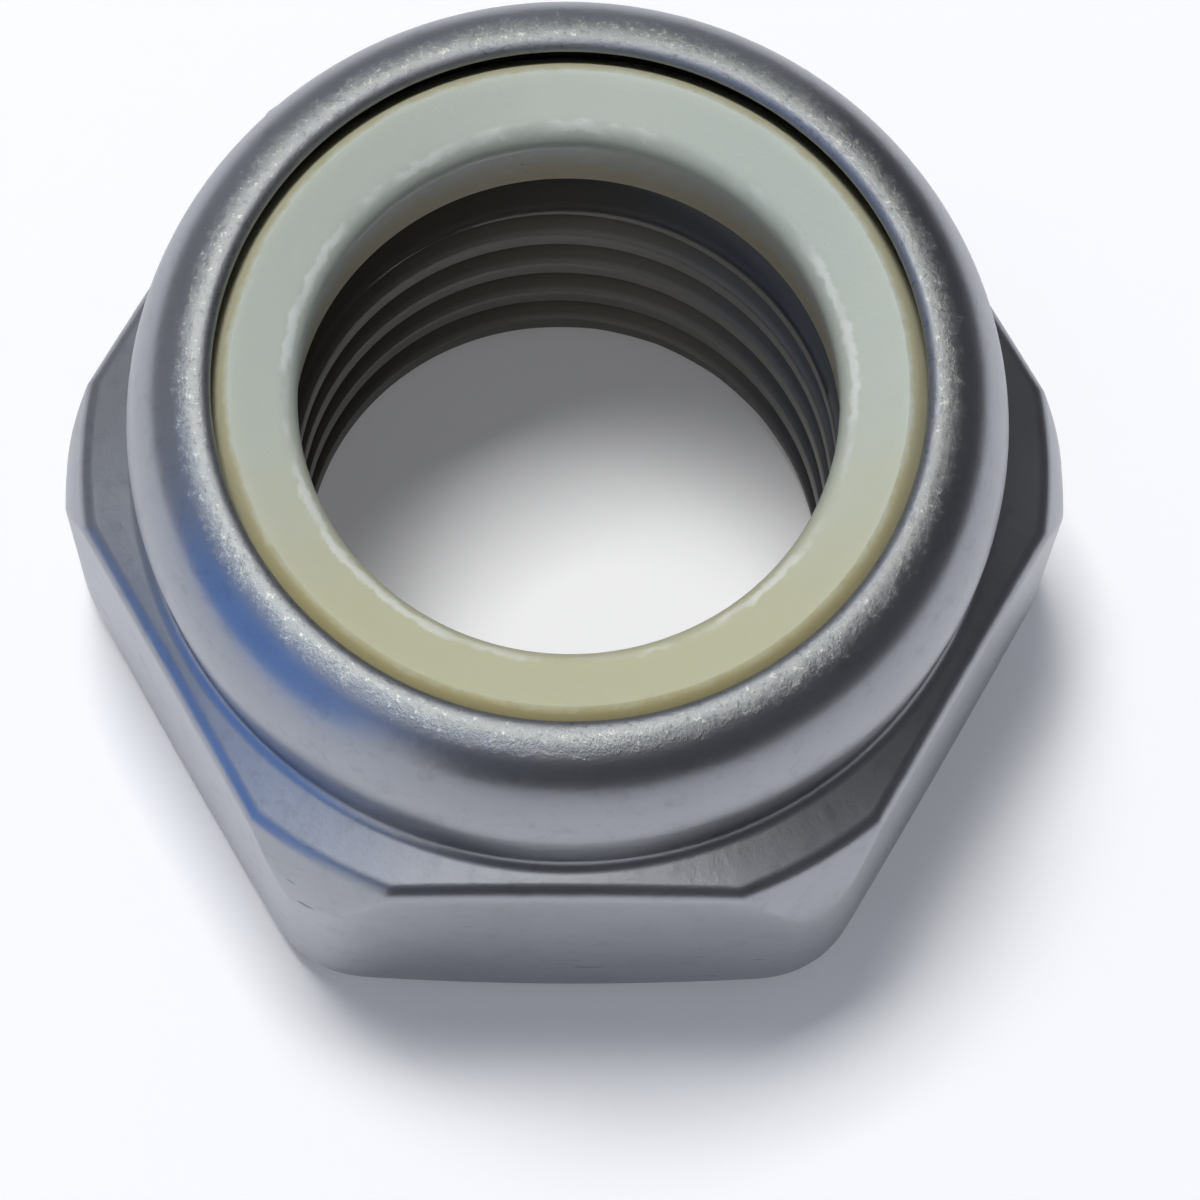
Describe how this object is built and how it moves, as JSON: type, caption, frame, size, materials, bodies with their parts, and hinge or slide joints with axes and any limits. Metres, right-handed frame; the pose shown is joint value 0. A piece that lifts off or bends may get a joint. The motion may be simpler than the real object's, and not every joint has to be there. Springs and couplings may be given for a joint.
{
  "type": "nylon insert lock nut",
  "caption": "Hexagon lock nut whose crimped steel collar holds a nylon ring that grips the thread of a bolt.",
  "frame": {"origin": "centre of the bearing face, the flat annulus that the nut stands on", "axes": "+Z along the thread axis towards the crimped collar; two corners of the hexagon on the X axis; two flats face along Y"},
  "size_m": [0.033, 0.0296, 0.019],
  "materials": {
    "steel": "dull satin grey plated steel, with a rubbed bright lip and faint forging marks",
    "nylon": "translucent off-white nylon, creamy to greenish, stained brown at its rim and lower bore"
  },
  "bodies": {
    "root": {"nut_body": "steel", "nylon_insert": "nylon"}
  },
  "joints": []
}
